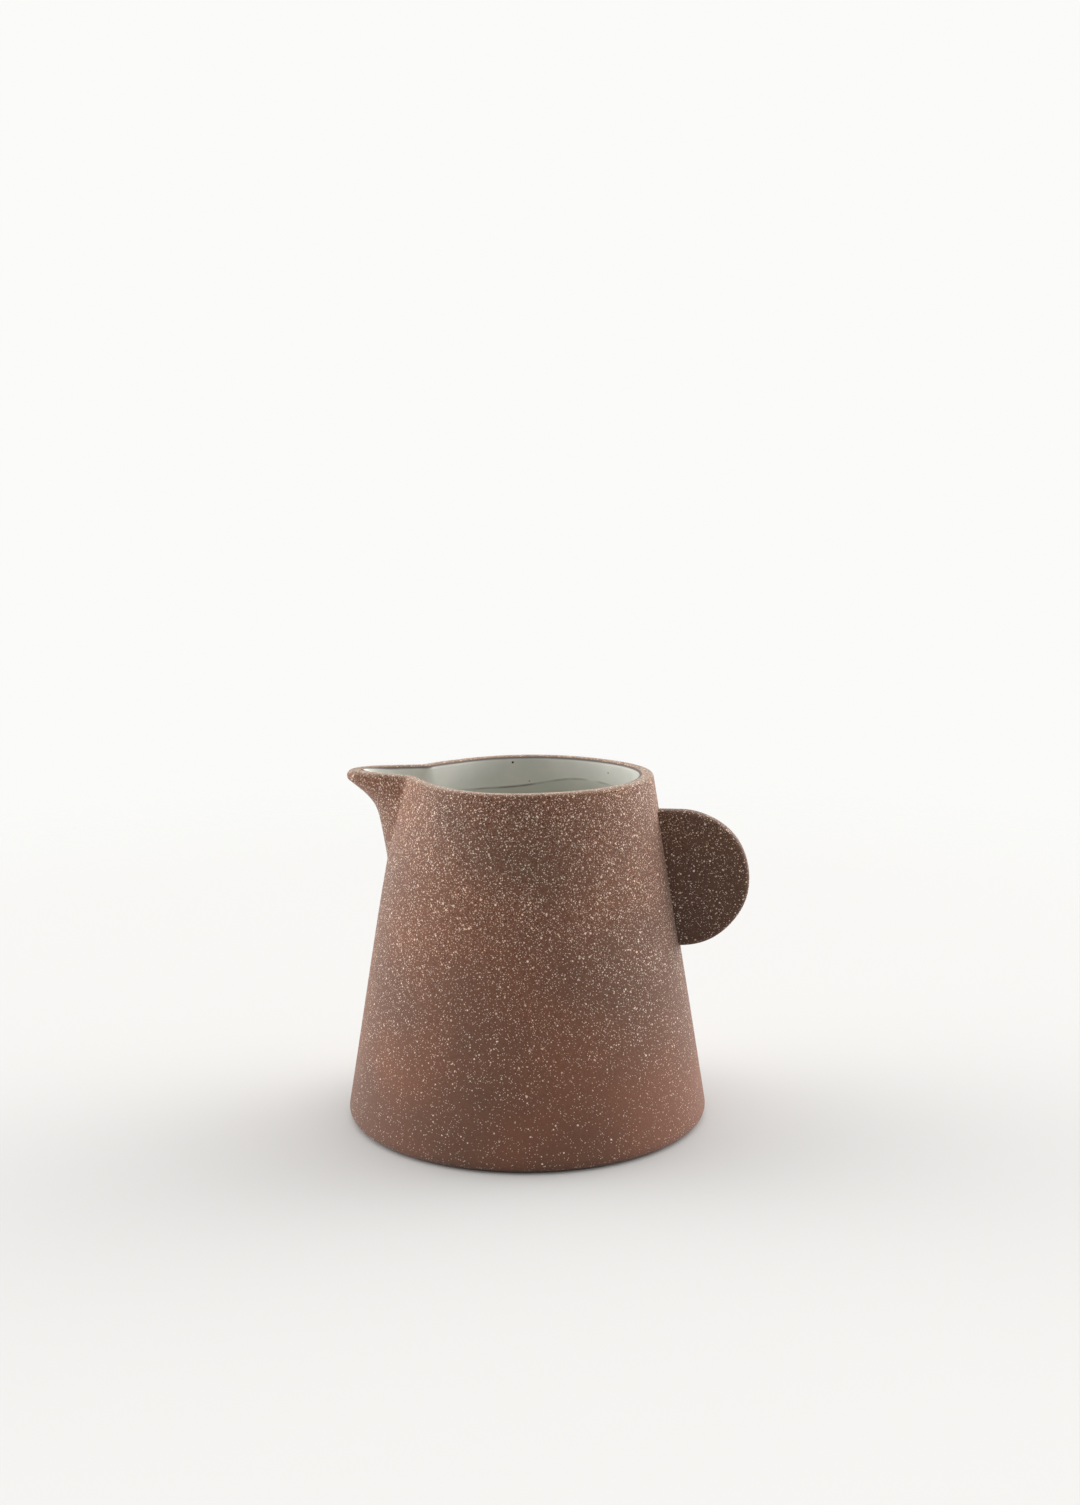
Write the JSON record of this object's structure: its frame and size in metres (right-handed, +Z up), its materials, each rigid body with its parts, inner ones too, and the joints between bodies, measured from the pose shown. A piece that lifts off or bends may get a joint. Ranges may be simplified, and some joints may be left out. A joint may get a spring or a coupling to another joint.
{
  "type": "pitcher",
  "caption": "Small cone-shaped stoneware pitcher with a pinched pouring spout, a solid half-moon side handle and a glazed inside.",
  "frame": {"origin": "centre of the flat underside, where the pitcher stands on the table", "axes": "+Z up, +X from the middle of the pot towards the handle, -X towards the spout"},
  "size_m": [0.1194, 0.107, 0.1026],
  "materials": {
    "raw_stoneware": "matte",
    "liner_glaze": "gloss"
  },
  "bodies": {
    "root": {"base_disc": "raw_stoneware", "body_wall": "raw_stoneware", "seam_coil": "raw_stoneware", "spout": "raw_stoneware", "handle": "raw_stoneware", "inner_glaze": "liner_glaze"}
  },
  "joints": []
}
